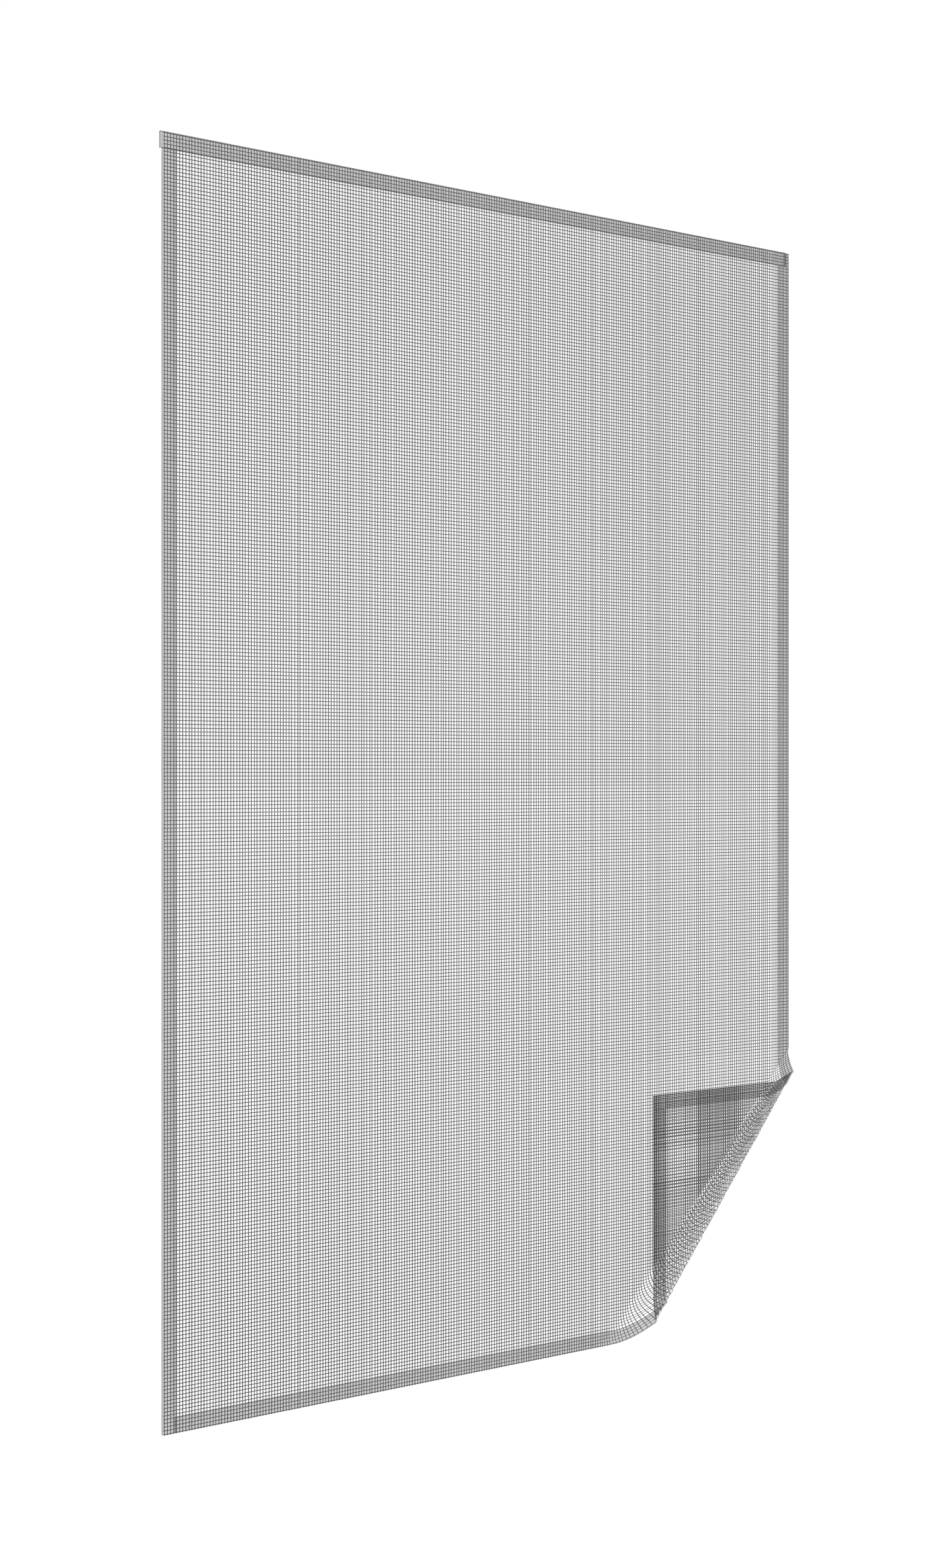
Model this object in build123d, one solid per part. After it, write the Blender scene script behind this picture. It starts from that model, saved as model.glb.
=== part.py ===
# A hook-and-loop insect screen for a small window: a fine net with a loop tape along each
# edge, an adhesive hook tape behind the top one, and the lower right corner peeled
# forward and folded back over the net.
#
# Millimetres, +Z up. The viewer in the room looks along +Y, the window is on the +Y side.
# The origin is the middle of the adhesive face of the hook tape, where the screen is held.
import os
from math import hypot, sqrt

from build123d import *

# The net
net_width = 500.0
net_height = 700.0
net_thickness = 0.5  # over the threads
net_wall = 0.3  # the wall that joins the threads of a strand
thread_width = 0.5
thread_pitch = 2.0
threads_in_strand = 6
opening_columns = 10
opening_rows = 12

# The tapes
tape_width = 8.5
loop_tape_thickness = 2.0
hook_tape_width = 9.0
hook_tape_thickness = 2.0
hook_tape_lift = 1.0  # the hook tape stands this far above the net's top edge
side_tape_gap = 0.4  # between the top tape and the tapes down the sides
butt_gap = 0.2  # between the bottom tape and the tapes it ends against

# The peeled corner
fold_reach = 174.0  # from the corner along each edge to where the net leaves its plane
fold_depth = 29.4  # between the net and the corner laid back over it
fold_length = 45.4  # of net taken up by the fold, across it
fold_set_back = 21.9  # the laid-back corner starts this far inside the fold line
swing_at_bottom = 30.1  # how far the net would run on to a sharp crease
swing_at_side = 11.9
crease_softness = 0.1  # how round the crease is, as a share of half the fold
fold_steps = 24  # points along each curve that follows the fold

strand_width = threads_in_strand * thread_pitch

# Levels in depth, from the adhesive face to the net
loop_back = -hook_tape_thickness
net_back = loop_back - loop_tape_thickness
net_middle = net_back - net_thickness / 2

# Levels in height
hook_top = hook_tape_width / 2
net_top = hook_top - hook_tape_lift
net_bottom = net_top - net_height
net_left = -net_width / 2
net_right = net_width / 2

# Depth of each layer in front of or behind the middle of the net, towards the window
wall_layer = (-net_wall / 2, net_wall / 2)
upright_layer = (-net_thickness / 2, -net_wall / 2)
level_layer = (net_wall / 2, net_thickness / 2)
tape_layer = (net_thickness / 2, net_thickness / 2 + loop_tape_thickness)

# The fold runs along a line at 45 degrees. A place on the flat net is counted from the
# line's lower end: along the line, and past the line towards the corner.
line_start = (net_right - fold_reach, net_bottom)
line_length = fold_reach * sqrt(2)


def on_line(x, z):
    """The place (x, z) on the flat net, as (along, past) the fold line."""
    dx = x - line_start[0]
    dz = z - line_start[1]
    return (dx + dz) / sqrt(2), (dx - dz) / sqrt(2)


def folded(x, z, back):
    """Where the place (x, z) on the flat net is once the corner is folded. The point lies
    the distance back behind the middle of the net."""
    along, past = on_line(x, z)
    if past <= 0:
        out, forward = past, -back
    elif past >= fold_length:
        out, forward = fold_length - fold_set_back - past, fold_depth + back
    else:
        # The net runs on past the fold line, turns at the crease and comes forward and back
        on = past / fold_length
        from_crease = hypot(2 * on - 1, crease_softness)
        swing = swing_at_bottom + (swing_at_side - swing_at_bottom) * along / line_length
        eased = on**2 * (3 - 2 * on)
        eased_rate = 6 * on * (1 - on)
        out_rate = 2 * swing * (1 - 2 * on) / from_crease - fold_set_back * eased_rate
        forward_rate = fold_depth * eased_rate
        rate = hypot(out_rate, forward_rate)
        out = swing * (hypot(1, crease_softness) - from_crease) - fold_set_back * eased
        out += back * forward_rate / rate
        forward = fold_depth * eased - back * out_rate / rate
    return (
        line_start[0] + (along + out) / sqrt(2),
        net_middle - forward,
        line_start[1] + (along - out) / sqrt(2),
    )


def plate(places, layer):
    """A flat piece whose corners are places on the net, all before or all past the fold."""
    near = Polyline(*[folded(x, z, layer[0]) for x, z in places], close=True)
    far = folded(*places[0], layer[1])
    start = folded(*places[0], layer[0])
    return extrude(make_face(near), amount=abs(far[1] - start[1]), dir=(0, far[1] - start[1], 0))


def fold_curve(start, end, back):
    """The curve that a straight line on the flat net, across the fold, takes."""
    shares = [step / fold_steps for step in range(fold_steps + 1)]
    points = []
    for share in shares:
        x = start[0] + (end[0] - start[0]) * share
        z = start[1] + (end[1] - start[1]) * share
        points.append(folded(x, z, back))
    return Edge.make_spline([Vector(*point) for point in points], parameters=shares)


def bend(first, second, layer):
    """The curved piece between two lines across the fold, each given by its two ends."""
    inner = [fold_curve(*line, layer[0]) for line in (first, second)]
    outer = [fold_curve(*line, layer[1]) for line in (first, second)]
    faces = [
        Face.make_surface_from_curves(*inner),
        Face.make_surface_from_curves(*outer),
        Face.make_surface_from_curves(inner[0], outer[0]),
        Face.make_surface_from_curves(inner[1], outer[1]),
    ]
    for end in (0, 1):
        ring = [inner[0] @ end, outer[0] @ end, outer[1] @ end, inner[1] @ end]
        faces.append(Face(Wire.make_polygon(ring, close=True)))
    return Solid(Shell(faces))


def across(x=None, z=None):
    """The two ends, on the edges of the fold, of the line at x or at z on the flat net."""
    reach = fold_length * sqrt(2)
    start = line_start[0] - line_start[1]
    if z is None:
        return (x, x - start), (x, x - start - reach)
    return (z + start, z), (z + start + reach, z)


def opening_step(size, count):
    """From one opening to the next, with a whole opening beside the tape at either end."""
    return (size - 2 * tape_width + strand_width) / count


def thread_places(first, last, count):
    """Where the threads lie between two edges of the net: on the strands between the
    openings, and on the borders that the tapes back."""
    size = last - first
    step = opening_step(size, count)
    strands = [first + tape_width - strand_width / 2 + step * number for number in range(1, count)]
    middle = (threads_in_strand - 1) / 2
    spread = [thread_pitch * (number - middle) for number in range(threads_in_strand)]
    border = [thread_pitch * (number + 0.5) for number in range(int(tape_width / thread_pitch))]
    places = [strand + off for strand in strands for off in spread]
    return places + [first + off for off in border] + [last - off for off in border]


def drawn_plates(sketch, depths):
    """A sketch drawn on the flat net, as plates between two depths behind its middle."""
    back = Plane.XZ.offset(-net_middle - depths[1])
    return extrude(back * sketch, amount=depths[1] - depths[0]).solids()


def woven(places, clear_places):
    """The net inside some corner places, with its openings inside the clear ones."""
    region = make_face(Polyline(*places, close=True))
    clear = make_face(Polyline(*clear_places, close=True))
    return [
        *drawn_plates(region - (openings & clear), wall_layer),
        *drawn_plates(upright_threads & region, upright_layer),
        *drawn_plates(level_threads & region, level_layer),
    ]


def one_solid(pieces):
    return pieces[0].fuse(*pieces[1:]).clean()


corner = (net_right, net_bottom)
side_edge = across(x=net_right)
bottom_edge = across(z=net_bottom)

# The openings and threads of the net, drawn flat. Each opening stands for many meshes, and each
# strand between two openings for the threads between them.
net_centre = Pos((net_left + net_right) / 2, (net_bottom + net_top) / 2)
step_across = opening_step(net_width, opening_columns)
step_up = opening_step(net_height, opening_rows)
openings = Sketch() + [
    net_centre * place * Rectangle(step_across - strand_width, step_up - strand_width)
    for place in GridLocations(step_across, step_up, opening_columns, opening_rows)
]
upright_threads = Sketch() + [
    Pos(x, net_centre.position.Y) * Rectangle(thread_width, net_height)
    for x in thread_places(net_left, net_right, opening_columns)
]
level_threads = Sketch() + [
    Pos(net_centre.position.X, z) * Rectangle(net_width, thread_width)
    for z in thread_places(net_bottom, net_top, opening_rows)
]

# The net: the part that stays flat, the fold, and the corner laid back. The threads stand out
# on the flat parts, the upright ones towards the room and the level ones towards the window.
# The openings stay a strand's width clear of the fold.
clear_reach = strand_width * sqrt(2)
net_sides = [(net_right, net_top), (net_left, net_top), (net_left, net_bottom)]
flat_part = woven(
    [*net_sides, bottom_edge[0], side_edge[0]],
    [
        *net_sides,
        (bottom_edge[0][0] - clear_reach, net_bottom),
        (net_right, side_edge[0][1] + clear_reach),
    ],
)
corner_part = woven(
    [bottom_edge[1], corner, side_edge[1]],
    [(bottom_edge[1][0] + clear_reach, net_bottom), corner, (net_right, side_edge[1][1] - clear_reach)],
)
turn_place = (fold_length - fold_set_back) / 2 / sqrt(2)
turn_axis = Axis(
    (line_start[0] + turn_place, net_middle - fold_depth / 2, line_start[1] - turn_place), (1, 0, 1)
)
insect_net = one_solid([
    *flat_part,
    bend(bottom_edge, side_edge, wall_layer),
    *[piece.rotate(turn_axis, 180) for piece in corner_part],
])

# The tapes that stay flat
tape_top = net_top - tape_width - side_tape_gap
top_loop_tape = plate(
    [
        (net_left, net_top - tape_width),
        (net_right, net_top - tape_width),
        (net_right, net_top),
        (net_left, net_top),
    ],
    tape_layer,
)
left_loop_tape = plate(
    [
        (net_left, net_bottom),
        (net_left + tape_width, net_bottom),
        (net_left + tape_width, tape_top),
        (net_left, tape_top),
    ],
    tape_layer,
)
top_hook_tape = Pos(0, -hook_tape_thickness / 2, 0) * Box(
    net_width, hook_tape_thickness, hook_tape_width
)

# The right tape goes round the fold and ends at the corner
right_inner = across(x=net_right - tape_width)
right_loop_tape = one_solid([
    plate(
        [right_inner[0], side_edge[0], (net_right, tape_top), (net_right - tape_width, tape_top)],
        tape_layer,
    ),
    bend(right_inner, side_edge, tape_layer),
    plate(
        [right_inner[1], side_edge[1], corner, (net_right - tape_width, net_bottom)],
        tape_layer,
    ),
])

# The bottom tape goes round the fold and ends against the tapes at its two sides
bottom_inner = across(z=net_bottom + tape_width)
bottom_left = net_left + tape_width + butt_gap
bottom_right = net_right - tape_width - butt_gap
bottom_loop_tape = one_solid([
    plate(
        [
            (bottom_left, net_bottom),
            bottom_edge[0],
            bottom_inner[0],
            (bottom_left, net_bottom + tape_width),
        ],
        tape_layer,
    ),
    bend(bottom_edge, bottom_inner, tape_layer),
    plate(
        [
            bottom_edge[1],
            (bottom_right, net_bottom),
            (bottom_right, net_bottom + tape_width),
            bottom_inner[1],
        ],
        tape_layer,
    ),
])

os.makedirs("parts", exist_ok=True)
for name, solid in {
    "insect_net": insect_net,
    "top_loop_tape": top_loop_tape,
    "left_loop_tape": left_loop_tape,
    "right_loop_tape": right_loop_tape,
    "bottom_loop_tape": bottom_loop_tape,
    "top_hook_tape": top_hook_tape,
}.items():
    export_step(solid, f"parts/{name}.step")
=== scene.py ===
# A hook-and-loop insect screen that hangs from its top tape, with one corner peeled forward.
# Metres, +Z up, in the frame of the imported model. The viewer in the room looks along +Y.
from math import pi, radians, sqrt

import bmesh
import bpy
import numpy as np
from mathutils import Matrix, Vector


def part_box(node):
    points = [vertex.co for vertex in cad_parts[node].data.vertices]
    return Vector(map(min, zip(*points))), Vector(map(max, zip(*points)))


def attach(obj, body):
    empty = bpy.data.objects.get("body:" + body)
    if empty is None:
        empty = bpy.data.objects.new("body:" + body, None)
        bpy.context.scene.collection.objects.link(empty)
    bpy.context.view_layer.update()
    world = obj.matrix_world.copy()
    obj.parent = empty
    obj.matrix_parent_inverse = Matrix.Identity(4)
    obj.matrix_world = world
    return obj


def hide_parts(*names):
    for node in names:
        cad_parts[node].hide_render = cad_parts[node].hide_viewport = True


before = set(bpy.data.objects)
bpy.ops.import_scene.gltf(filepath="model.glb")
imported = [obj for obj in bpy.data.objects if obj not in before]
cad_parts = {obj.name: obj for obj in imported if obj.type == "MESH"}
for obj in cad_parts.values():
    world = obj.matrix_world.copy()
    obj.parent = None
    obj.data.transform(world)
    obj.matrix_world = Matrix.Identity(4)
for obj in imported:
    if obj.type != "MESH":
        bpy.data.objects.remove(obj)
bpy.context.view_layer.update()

# Sizes and levels read from the frame
net_low, net_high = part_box("insect_net")
left_low, left_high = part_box("left_loop_tape")
top_low, top_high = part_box("top_loop_tape")
right_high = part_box("right_loop_tape")[1]
bottom_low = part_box("bottom_loop_tape")[0]
hook_low, hook_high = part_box("top_hook_tape")
net_left, net_right = net_low.x, net_high.x
net_bottom, net_top = left_low.z, net_high.z
tape_width = left_high.x - left_low.x

# The net: square meshes of round thread
mesh_pitch = 0.002
thread_radius = 0.00025
thread_sides = 6
thread_offset = 0.0001  # upright threads lie this far in front of the middle, level ones behind
thread_end = 0.0005  # a cut end stands this far past the outermost thread
thread_wander = 0.00012  # how far an upright thread strays from its even place
thread_unevenness = 0.06  # how much one upright thread is thicker or thinner than the next
thread_slack = 0.015  # how much one thread swings out more or less than the next in the fold
net_thickness = 0.0005
net_middle = net_high.y - net_thickness / 2

# The peeled corner: the form of the solids' fold, with the net laid round a sharper crease
fold_reach = 0.174  # from the corner along each edge to where the net leaves its plane
fold_depth = net_middle - net_thickness / 2 - net_low.y
fold_at_bottom = 0.036  # of net taken up by the fold, across it
fold_at_side = 0.046
flap_shift = 0.024  # that length, less how far inside the fold line the laid-back corner starts
swing_at_bottom = 0.0232  # how far the net would run on to a sharp crease
swing_at_side = 0.0112
crease_softness = 0.04  # how round the crease is, as a share of half the fold
fold_steps = 44  # along each thread
fold_slide = 0.014  # how far the threads slide up along the fold at the crease
slide_from_bottom = -0.0086  # they start to slide this far from the lower end of the fold
slide_from_side = 0.020  # and stop this far from its upper end
slide_ramp = 0.045  # the length along the fold over which the slide grows to its full size
crease_at_bottom = 0.0225  # of net between the fold line and the crease
crease_at_side = 0.018
crease_squeeze = 0.6  # how much the crease presses the tapes flat
crease_thinning = 0.36  # how much thinner the stretched threads are at the crease
line_length = fold_reach * sqrt(2)
line_x = net_right - fold_reach
line_z = net_bottom

# The loop tape: a smoky ground that lets light through, and small loops that stand proud of it
# on the side towards the window
pile_height = 0.00025
tape_edge_radius = 0.0002
corner_points = 4  # on each rounded corner of a tape's section
tape_step = 0.0012  # between sections of a tape where it bends
tuft_pitch = mesh_pitch
tuft_spread = 0.42  # how far a loop lies from the middle of its tuft, as a share of the pitch
loops_per_tuft = 3
loop_radius = 0.00006
loop_span = 0.0011
loop_spans = (0.8, 1.2)  # the least and largest span, as shares of the usual one
loop_heights = (0.7, 0.96)  # the least and largest height, as shares of the pile
loop_points = 6
yarn_sides = 3  # of a loop or hook

# The hook tape: a moulded strip with rows of small hooks that reach into the loops
hook_pitch = 0.002
hook_radius = 0.00006
hook_height = pile_height
hook_bend = 0.35 * hook_height  # the radius of the bend at the tip
hook_turn = 0.9 * pi  # how far the tip bends round
hook_points = 5  # on the bend
hook_strip_thickness = hook_high.y - hook_low.y - hook_height

random_seed = 7
chance = np.random.default_rng(random_seed)


def between(at_bottom, at_side, along):
    """A value that changes evenly from the lower end of the fold to its upper end."""
    return at_bottom + (at_side - at_bottom) * np.clip(along / line_length, 0, 1)


def eased(share, start):
    """A share from 0 to 1 that grows at the rate start at first, and then faster."""
    share = np.clip(share, 0, 1)
    start = np.minimum(start, 1)
    return start * share + (1 - start) * share**2


def fold_place(x, z):
    """Places on the flat net, as they lie on the fold: along its line, past its line, the net
    that it takes up there, and the share of that up to the place, a half at the crease."""
    along = ((x - line_x) + (z - line_z)) / sqrt(2)
    past = ((x - line_x) - (z - line_z)) / sqrt(2)
    length = between(fold_at_bottom, fold_at_side, along)
    before = between(crease_at_bottom, crease_at_side, along)
    after = length - before
    reach = between(swing_at_bottom, swing_at_side, along)
    on = np.where(past < before, eased(past / before, before / reach),
                  2 - eased((length - past) / after, after / reach)) / 2
    return along, past, length, on


def outward(on):
    """The share of the swing at a place on the fold: 0 at its ends, nearly 1 at the crease."""
    return np.hypot(1, crease_softness) - np.hypot(2 * on - 1, crease_softness)


def folded(flat, slack):
    """Rows of (x, z, back) on the flat net, moved to where the peeled corner puts them. The
    third number is the distance behind the middle of the net, and slack is how much more
    than usual each one swings out."""
    x, z, back = flat.T
    along, past, length, on = fold_place(x, z)
    near_crease = outward(on) / outward(0.5)
    inside = np.minimum(along - slide_from_bottom, line_length - slide_from_side - along)
    ramp = np.clip(inside / slide_ramp, 0, 1)
    along = along + fold_slide * ramp**2 * (3 - 2 * ramp) * near_crease**2
    back = back * (1 - crease_squeeze * near_crease)
    swing = between(swing_at_bottom, swing_at_side, along) * (1 + slack)
    set_back = length - flap_shift
    swing_rate = 2 * swing * (1 - 2 * on) / np.hypot(2 * on - 1, crease_softness)
    out_rate = swing_rate - 6 * set_back * on * (1 - on)
    forward_rate = 6 * fold_depth * on * (1 - on)
    rate = np.hypot(out_rate, forward_rate)
    out = swing * outward(on) - set_back * on**2 * (3 - 2 * on) + back * forward_rate / rate
    out += np.minimum(past, 0) - np.maximum(past - length, 0)
    forward = fold_depth * on**2 * (3 - 2 * on) - back * out_rate / rate
    return np.stack([line_x + (along + out) / sqrt(2), net_middle - forward,
                     line_z + (along - out) / sqrt(2)], axis=1)


class Shape:
    """Gathers closed tubes, given as rings of points on the flat net, into one piece."""

    def __init__(self):
        self.points = []
        self.faces = []
        self.paints = []
        self.smooth = []
        self.slack = []
        self.count = 0

    def add(self, rings, paint=0, slack=0.0):
        """Adds tubes of one kind: rings is an array (tubes, rings, sides, 3). paint is the
        material's number, or one number for each side."""
        tubes, steps, sides, _ = rings.shape
        index = np.arange(tubes * steps * sides).reshape(tubes, steps, sides) + self.count
        beside = np.roll(index, -1, axis=2)
        quads = np.stack([index[:, :-1], index[:, 1:], beside[:, 1:], beside[:, :-1]], axis=-1)
        caps = np.concatenate([index[:, 0], index[:, -1]])
        self.faces += quads.reshape(-1, 4).tolist() + caps.tolist()
        paints = np.broadcast_to(np.asarray(paint), (tubes, steps - 1, sides))
        self.paints += paints.ravel().tolist() + [int(np.min(paint))] * len(caps)
        self.smooth += [True] * (tubes * (steps - 1) * sides) + [False] * len(caps)
        self.points.append(rings.reshape(-1, 3))
        self.slack.append(np.full(tubes * steps * sides, slack))
        self.count += tubes * steps * sides

    def piece(self, name, materials):
        """The Blender object: folded into place, with the flat layout kept for its materials."""
        flat = np.concatenate(self.points)
        mesh = bpy.data.meshes.new(name)
        mesh.from_pydata(folded(flat, np.concatenate(self.slack)).tolist(), [], self.faces)
        for material in materials:
            mesh.materials.append(material)
        mesh.polygons.foreach_set("material_index", self.paints)
        mesh.polygons.foreach_set("use_smooth", self.smooth)
        layout = mesh.attributes.new("flat_place", "FLOAT_VECTOR", "POINT")
        layout.data.foreach_set("vector", flat.astype(np.float32).ravel())
        work = bmesh.new()
        work.from_mesh(mesh)
        bmesh.ops.recalc_face_normals(work, faces=work.faces)
        work.to_mesh(mesh)
        work.free()
        piece = bpy.data.objects.new(name, mesh)
        bpy.context.scene.collection.objects.link(piece)
        return piece


def fold_span(x=None, z=None):
    """Where a line on the flat net, at x or at z, enters the fold and where it leaves it."""
    reach = max(fold_at_bottom, fold_at_side) * sqrt(2)
    if x is not None:
        enter = line_z + (x - line_x)
        return enter, enter - reach
    enter = line_x + (z - line_z)
    return enter, enter + reach


def stations(start, end, enter, leave, steps):
    """Places along a line from start to end: its two ends and even steps round the fold."""
    inside = np.linspace(enter, leave, steps + 1)
    low, high = min(start, end), max(start, end)
    inside = inside[(inside > low) & (inside < high)]
    return np.concatenate([[start], inside, [end]])


# Pieces. A tape's materials are in this order, and its hooks have that of its broad faces.
edge_paint, face_paint, pile_paint = range(3)


def thread_places(low, high):
    """Places of the threads between two cut edges of the net."""
    count = round((high - low) / mesh_pitch)
    return np.linspace(low + thread_end, high - thread_end, count + 1)


def woven_net(material):
    shape = Shape()
    angle = 2 * pi * (np.arange(thread_sides) + 0.5) / thread_sides
    side = thread_radius * np.cos(angle)
    depth = thread_radius * np.sin(angle)

    def thin(x, z):
        """How thick a thread is at its places, as a share of its thickness off the fold."""
        return (1 - crease_thinning * outward(fold_place(x, z)[3]))[:, None]

    uprights = thread_places(net_left, net_right)
    uprights[1:-1] += chance.normal(0, thread_wander, len(uprights) - 2)
    for x in uprights:
        places = stations(net_top, net_bottom, *fold_span(x=x), fold_steps)
        thickness = thin(x, places) * (1 + chance.normal(0, thread_unevenness))
        rings = np.empty((1, len(places), thread_sides, 3))
        rings[..., 0] = x + side * thickness
        rings[..., 1] = places[:, None]
        rings[..., 2] = depth * thickness - thread_offset
        shape.add(rings, slack=chance.normal(0, thread_slack))
    for z in thread_places(net_bottom, net_top):
        places = stations(net_left, net_right, *fold_span(z=z), fold_steps)
        thickness = thin(places, z)
        rings = np.empty((1, len(places), thread_sides, 3))
        rings[..., 0] = places[:, None]
        rings[..., 1] = z + side * thickness
        rings[..., 2] = depth * thickness + thread_offset
        shape.add(rings, slack=chance.normal(0, thread_slack))
    return shape.piece("woven_net", [material])


def strip_section(width, front, back, radius):
    """A rectangle with rounded corners, as rows of (across, depth). The first side is the
    back face."""
    near, far = radius, width - radius
    turns = np.linspace(0, pi / 2, corner_points)
    corners = []
    for across, depth, start in ((far, back - radius, 0), (near, back - radius, pi / 2),
                                 (near, front + radius, pi), (far, front + radius, 1.5 * pi)):
        corners.append(np.stack([across + radius * np.cos(turns + start),
                                 depth + radius * np.sin(turns + start)], axis=1))
    return np.roll(np.concatenate(corners), 1 - corner_points, axis=0)


def lay(length, across, depth, upright):
    """Places on the flat net for places along and across a tape that runs upright or level."""
    if upright:
        return np.stack(np.broadcast_arrays(across, length, depth), axis=-1)
    return np.stack(np.broadcast_arrays(length, across, depth), axis=-1)


def tape_stations(start, end, edge, upright):
    """Places along a tape: its two ends, and close steps where any of its width is folded."""
    lines = (edge, edge + tape_width)
    if upright:
        enters, leaves = zip(*[fold_span(x=line) for line in lines])
        enter, leave = max(enters), min(leaves)
    else:
        enters, leaves = zip(*[fold_span(z=line) for line in lines])
        enter, leave = min(enters), max(leaves)
    return stations(start, end, enter, leave, round(abs(leave - enter) / tape_step))


def pile(shape, start, end, edge, depth, upright):
    """Rows of small loops on the back of a tape, a few together."""
    rows = edge + tuft_pitch * (np.arange(int(tape_width / tuft_pitch)) + 0.5)
    places = np.arange(start + tuft_pitch / 2, end - tuft_pitch / 4, tuft_pitch)
    length, across = [np.repeat(grid.ravel(), loops_per_tuft) for grid in np.meshgrid(places, rows)]
    many = len(length)
    heading = chance.uniform(0, 2 * pi, many)[:, None, None]
    off = chance.uniform(-tuft_spread, tuft_spread, (2, many))[:, :, None, None] * tuft_pitch
    span = loop_span * chance.uniform(*loop_spans, many)[:, None, None] / 2
    height = pile_height * chance.uniform(*loop_heights, many)[:, None, None]
    bow = np.linspace(0, pi, loop_points)[None, :, None]
    round_it = 2 * pi * np.arange(yarn_sides)[None, None, :] / yarn_sides
    reach = (span + loop_radius * np.cos(round_it)) * np.cos(bow)
    aside = loop_radius * np.sin(round_it)
    rise = (height - loop_radius + loop_radius * np.cos(round_it)) * np.sin(bow)
    middle_length = length[:, None, None] + off[0]
    middle_across = across[:, None, None] + off[1]
    middle_across = np.clip(middle_across, edge + loop_span / 2, edge + tape_width - loop_span / 2)
    rings = lay(middle_length + reach * np.cos(heading) - aside * np.sin(heading),
                middle_across + reach * np.sin(heading) + aside * np.cos(heading),
                depth + rise, upright)
    shape.add(rings, pile_paint)


def strip_paints(section):
    """The material of each side of a strip: one on its two broad faces, another on its edges."""
    paints = np.full(len(section), edge_paint)
    paints[[0, len(section) // 2]] = face_paint
    return paints


def loop_tape(name, start, end, edge, upright, materials):
    """A loop tape behind the net, from start to end along the edge of the net that it follows."""
    shape = Shape()
    front = net_thickness / 2
    back = top_high.y - net_middle
    section = strip_section(tape_width, front, back, tape_edge_radius)
    places = tape_stations(start, end, edge, upright)[:, None]
    rings = lay(places, edge + section[:, 0], section[:, 1], upright)[None]
    shape.add(rings, strip_paints(section))
    pile(shape, min(start, end), max(start, end), edge, back, upright)
    return shape.piece(name, materials)


def hook_tape(name, materials):
    """The strip that stays on the window frame, with its hooks in the loops of the top tape."""
    shape = Shape()
    back = hook_high.y - net_middle
    front = back - hook_strip_thickness
    section = strip_section(hook_high.z - hook_low.z, front, back, tape_edge_radius)
    places = np.array([hook_low.x, hook_high.x])[:, None]
    rings = lay(places, hook_low.z + section[:, 0], section[:, 1], False)[None]
    shape.add(rings, strip_paints(section))

    rows = np.arange(hook_low.z + hook_pitch / 2, hook_high.z, hook_pitch)
    columns = np.arange(hook_low.x + hook_pitch / 2, hook_high.x, hook_pitch)
    x, z = [grid.ravel()[:, None, None] for grid in np.meshgrid(columns, rows)]
    way = np.where(np.arange(len(x)) % 2, 1, -1)[:, None, None]
    bow = np.concatenate([[0], np.linspace(0, hook_turn, hook_points)])[None, :, None]
    stem = np.array([0] + [1] * hook_points)[None, :, None]
    round_it = 2 * pi * np.arange(yarn_sides)[None, None, :] / yarn_sides
    arm = hook_bend + hook_radius * np.cos(round_it)
    reach = way * (hook_bend - arm * np.cos(bow))
    rise = stem * (hook_height - hook_bend) + arm * np.sin(bow)
    rings = lay(x + reach, z + hook_radius * np.sin(round_it), front - rise, False)
    shape.add(rings, face_paint)
    return shape.piece(name, materials)


# Materials. The tapes let light through, and each cover is the share of it that they keep back.
edge_cover = 0.38
ground_cover = 0.222
pile_cover = 0.18
hook_edge_cover = 0.64
hook_film_cover = 0.02


def colour(level):
    """A neutral grey, given as it shows on a screen from 0 to 255."""
    share = level / 255
    value = ((share + 0.055) / 1.055) ** 2.4 if share > 0.04045 else share / 12.92
    return (value, value, value, 1)


class Finish:
    """A material whose textures follow the flat layout of the cloth."""

    def __init__(self, name, roughness, sheen=0.0, specular=0.3):
        self.material = bpy.data.materials.new(name)
        self.material.use_nodes = True
        self.tree = self.material.node_tree
        self.shader = self.tree.nodes["Principled BSDF"]
        self.shader.inputs["Roughness"].default_value = roughness
        self.shader.inputs["Specular IOR Level"].default_value = specular
        self.shader.inputs["Sheen Weight"].default_value = sheen
        self.place = self.node("ShaderNodeAttribute", attribute_name="flat_place").outputs["Vector"]

    def node(self, kind, **settings):
        made = self.tree.nodes.new(kind)
        for key, value in settings.items():
            setattr(made, key, value)
        return made

    def link(self, source, target):
        self.tree.links.new(source, target)

    def noise(self, scale, detail=3.0):
        made = self.node("ShaderNodeTexNoise")
        self.link(self.place, made.inputs["Vector"])
        made.inputs["Scale"].default_value = scale
        made.inputs["Detail"].default_value = detail
        return made.outputs["Fac"]

    def wave(self, direction, scale):
        made = self.node("ShaderNodeTexWave", bands_direction=direction)
        self.link(self.place, made.inputs["Vector"])
        made.inputs["Scale"].default_value = scale
        return made.outputs["Fac"]

    def product(self, first, second):
        made = self.node("ShaderNodeMath", operation="MULTIPLY")
        self.link(first, made.inputs[0])
        self.link(second, made.inputs[1])
        return made.outputs[0]

    def mix(self, share, first, second):
        made = self.node("ShaderNodeMix", data_type="RGBA")
        self.link(share, made.inputs[0])
        for socket, value in ((made.inputs[6], first), (made.inputs[7], second)):
            if isinstance(value, tuple):
                socket.default_value = value
            else:
                self.link(value, socket)
        return made.outputs[2]

    def paint(self, socket):
        self.link(socket, self.shader.inputs["Base Color"])

    def bump(self, height, distance):
        made = self.node("ShaderNodeBump")
        self.link(height, made.inputs["Height"])
        made.inputs["Distance"].default_value = distance
        self.link(made.outputs["Normal"], self.shader.inputs["Normal"])

    def cover(self, share):
        self.shader.inputs["Alpha"].default_value = share


def thread_finish():
    """Coated grey thread with a fine twist."""
    finish = Finish("net_thread", roughness=0.6)
    finish.paint(finish.mix(finish.noise(scale=260), colour(94), colour(106)))
    finish.bump(finish.wave("DIAGONAL", scale=1200), distance=0.00004)
    return finish.material


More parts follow.
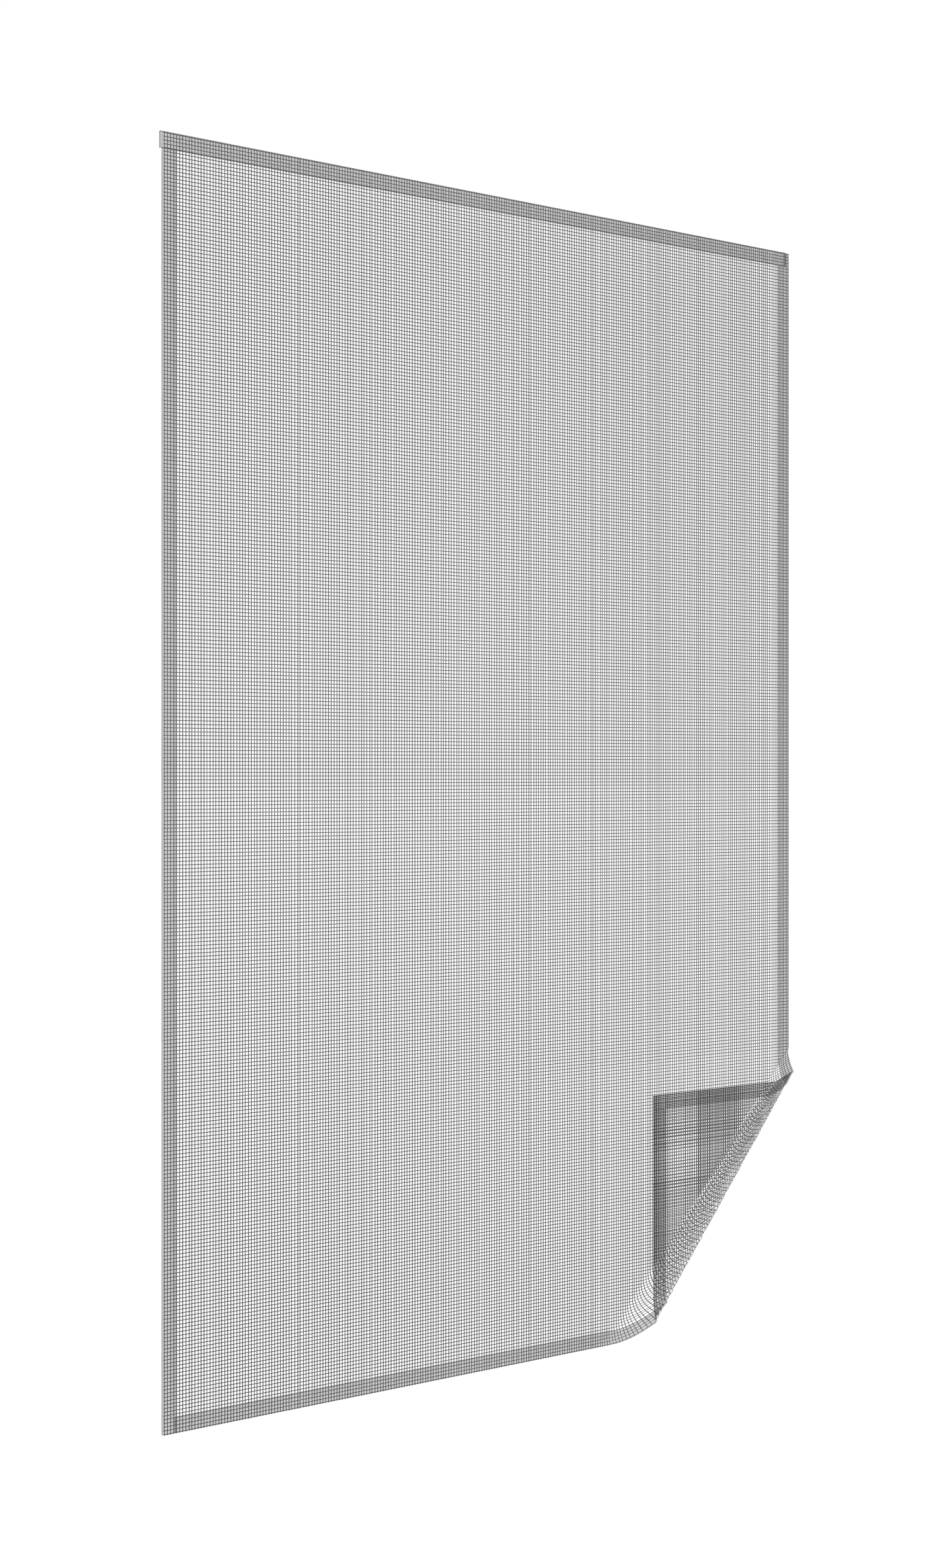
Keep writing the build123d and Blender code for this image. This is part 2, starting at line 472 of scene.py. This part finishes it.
def ground_finish(name, cover):
    """The woven ground of the tape: smoky yarn that covers a share of what is behind it."""
    finish = Finish(name, roughness=0.85, specular=0.1)
    weave = finish.product(finish.wave("X", scale=560), finish.wave("Y", scale=560))
    smoke = finish.mix(finish.noise(scale=180), colour(56), colour(66))
    finish.paint(finish.mix(weave, smoke, colour(74)))
    finish.bump(weave, distance=0.00008)
    finish.cover(cover)
    return finish.material


def pile_finish():
    """The loops of the tape, fine smoky yarn with a soft sheen."""
    finish = Finish("tape_pile", roughness=0.9, sheen=0.2, specular=0.15)
    finish.paint(finish.mix(finish.noise(scale=900), colour(128), colour(150)))
    finish.bump(finish.noise(scale=4200, detail=2.0), distance=0.00012)
    finish.cover(pile_cover)
    return finish.material


def hook_finish():
    """The cut edges of the hook tape: smoky plastic with fine lines along the strip."""
    finish = Finish("hook_plastic", roughness=0.45)
    finish.paint(finish.mix(finish.noise(scale=120), colour(58), colour(70)))
    finish.bump(finish.wave("Y", scale=380), distance=0.00003)
    finish.cover(hook_edge_cover)
    return finish.material


def film_finish():
    """The broad faces and hooks of the hook tape: a nearly clear film with faint clouding."""
    finish = Finish("hook_film", roughness=0.3, specular=0.1)
    finish.paint(finish.mix(finish.noise(scale=90, detail=4.0), colour(96), colour(120)))
    finish.bump(finish.noise(scale=240), distance=0.0001)
    finish.cover(hook_film_cover)
    return finish.material


thread = thread_finish()
tape_materials = [
    ground_finish("tape_edge", edge_cover),
    ground_finish("tape_ground", ground_cover),
    pile_finish(),
]
net = woven_net(thread)
tapes = {}
for node, name, start, end, edge, upright in [
    ("top_loop_tape", "loop_tape_top", top_low.x, top_high.x, top_low.z, False),
    ("left_loop_tape", "loop_tape_left", left_high.z, left_low.z, left_low.x, True),
    ("right_loop_tape", "loop_tape_right", right_high.z, net_bottom, net_right - tape_width, True),
    ("bottom_loop_tape", "loop_tape_bottom", bottom_low.x, -bottom_low.x, net_bottom, False),
]:
    tapes[node] = loop_tape(name, start, end, edge, upright, tape_materials)
hooks = hook_tape("hook_tape_top", [hook_finish(), film_finish()])

for piece, node, slot in [(net, "insect_net", "net"), (hooks, "top_hook_tape", "hook_tape"),
                          *[(tape, node, "loop_tape") for node, tape in tapes.items()]]:
    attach(piece, "root")
    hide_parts(node)

# Floor, light and camera
floor_level = -1.1
floor_size = 200.0
floor_tone = (0.8, 0.8, 0.8, 1)
floor_lift = 0.295  # added to the lit floor where it is seen, so that it shows as white
white = (1, 1, 1, 1)
ambient = 0.75
sun_strength = 1.35
sun_softness = radians(50)
sun_turn = radians(-20)  # from the front, towards the left
sun_height = radians(25)
camera_place = (-1.0478, -1.1627, -0.3402)
camera_turn = radians(41.378)
camera_lens = 59.76
camera_shift = -0.00775


def seen_directly(tree):
    """A number that is 1 for rays that show a surface to the camera, in a mirror or through glass."""
    path = tree.nodes.new("ShaderNodeLightPath")
    total = path.outputs["Is Camera Ray"]
    for name in ("Is Glossy Ray", "Is Transmission Ray"):
        larger = tree.nodes.new("ShaderNodeMath")
        larger.operation = "MAXIMUM"
        tree.links.new(total, larger.inputs[0])
        tree.links.new(path.outputs[name], larger.inputs[1])
        total = larger.outputs[0]
    return total


def white_world():
    world = bpy.data.worlds.new("studio")
    bpy.context.scene.world = world
    world.use_nodes = True
    tree = world.node_tree
    light = tree.nodes["Background"]
    light.inputs["Color"].default_value = white
    light.inputs["Strength"].default_value = ambient
    shown = tree.nodes.new("ShaderNodeBackground")
    shown.inputs["Color"].default_value = white
    shown.inputs["Strength"].default_value = 1.0
    choice = tree.nodes.new("ShaderNodeMixShader")
    tree.links.new(seen_directly(tree), choice.inputs[0])
    tree.links.new(light.outputs[0], choice.inputs[1])
    tree.links.new(shown.outputs[0], choice.inputs[2])
    tree.links.new(choice.outputs[0], tree.nodes["World Output"].inputs["Surface"])


def pale_floor():
    mesh = bpy.data.meshes.new("floor")
    half = floor_size / 2
    corners = [(-half, -half, floor_level), (half, -half, floor_level), (half, half, floor_level),
               (-half, half, floor_level)]
    mesh.from_pydata(corners, [], [(0, 1, 2, 3)])
    floor = bpy.data.objects.new("floor", mesh)
    bpy.context.scene.collection.objects.link(floor)
    material = bpy.data.materials.new("floor_white")
    material.use_nodes = True
    tree = material.node_tree
    tree.nodes.remove(tree.nodes["Principled BSDF"])
    matt = tree.nodes.new("ShaderNodeBsdfDiffuse")
    matt.inputs["Color"].default_value = floor_tone
    glow = tree.nodes.new("ShaderNodeEmission")
    lift = tree.nodes.new("ShaderNodeMath")
    lift.operation = "MULTIPLY"
    lift.inputs[1].default_value = floor_lift
    tree.links.new(seen_directly(tree), lift.inputs[0])
    tree.links.new(lift.outputs[0], glow.inputs["Strength"])
    both = tree.nodes.new("ShaderNodeAddShader")
    tree.links.new(matt.outputs[0], both.inputs[0])
    tree.links.new(glow.outputs[0], both.inputs[1])
    tree.links.new(both.outputs[0], tree.nodes["Material Output"].inputs["Surface"])
    mesh.materials.append(material)


def soft_sun():
    lamp = bpy.data.lights.new("soft_sun", "SUN")
    lamp.energy = sun_strength
    lamp.angle = sun_softness
    sun = bpy.data.objects.new("soft_sun", lamp)
    sun.rotation_euler = (pi / 2 - sun_height, 0, sun_turn)
    bpy.context.scene.collection.objects.link(sun)


def photo_camera():
    lens = bpy.data.cameras.new("camera")
    lens.lens = camera_lens
    lens.shift_y = camera_shift
    camera = bpy.data.objects.new("camera", lens)
    camera.location = camera_place
    camera.rotation_euler = (pi / 2, 0, -camera_turn)
    bpy.context.scene.collection.objects.link(camera)
    bpy.context.scene.camera = camera


white_world()
pale_floor()
soft_sun()
photo_camera()
bpy.context.scene.view_settings.view_transform = "Standard"
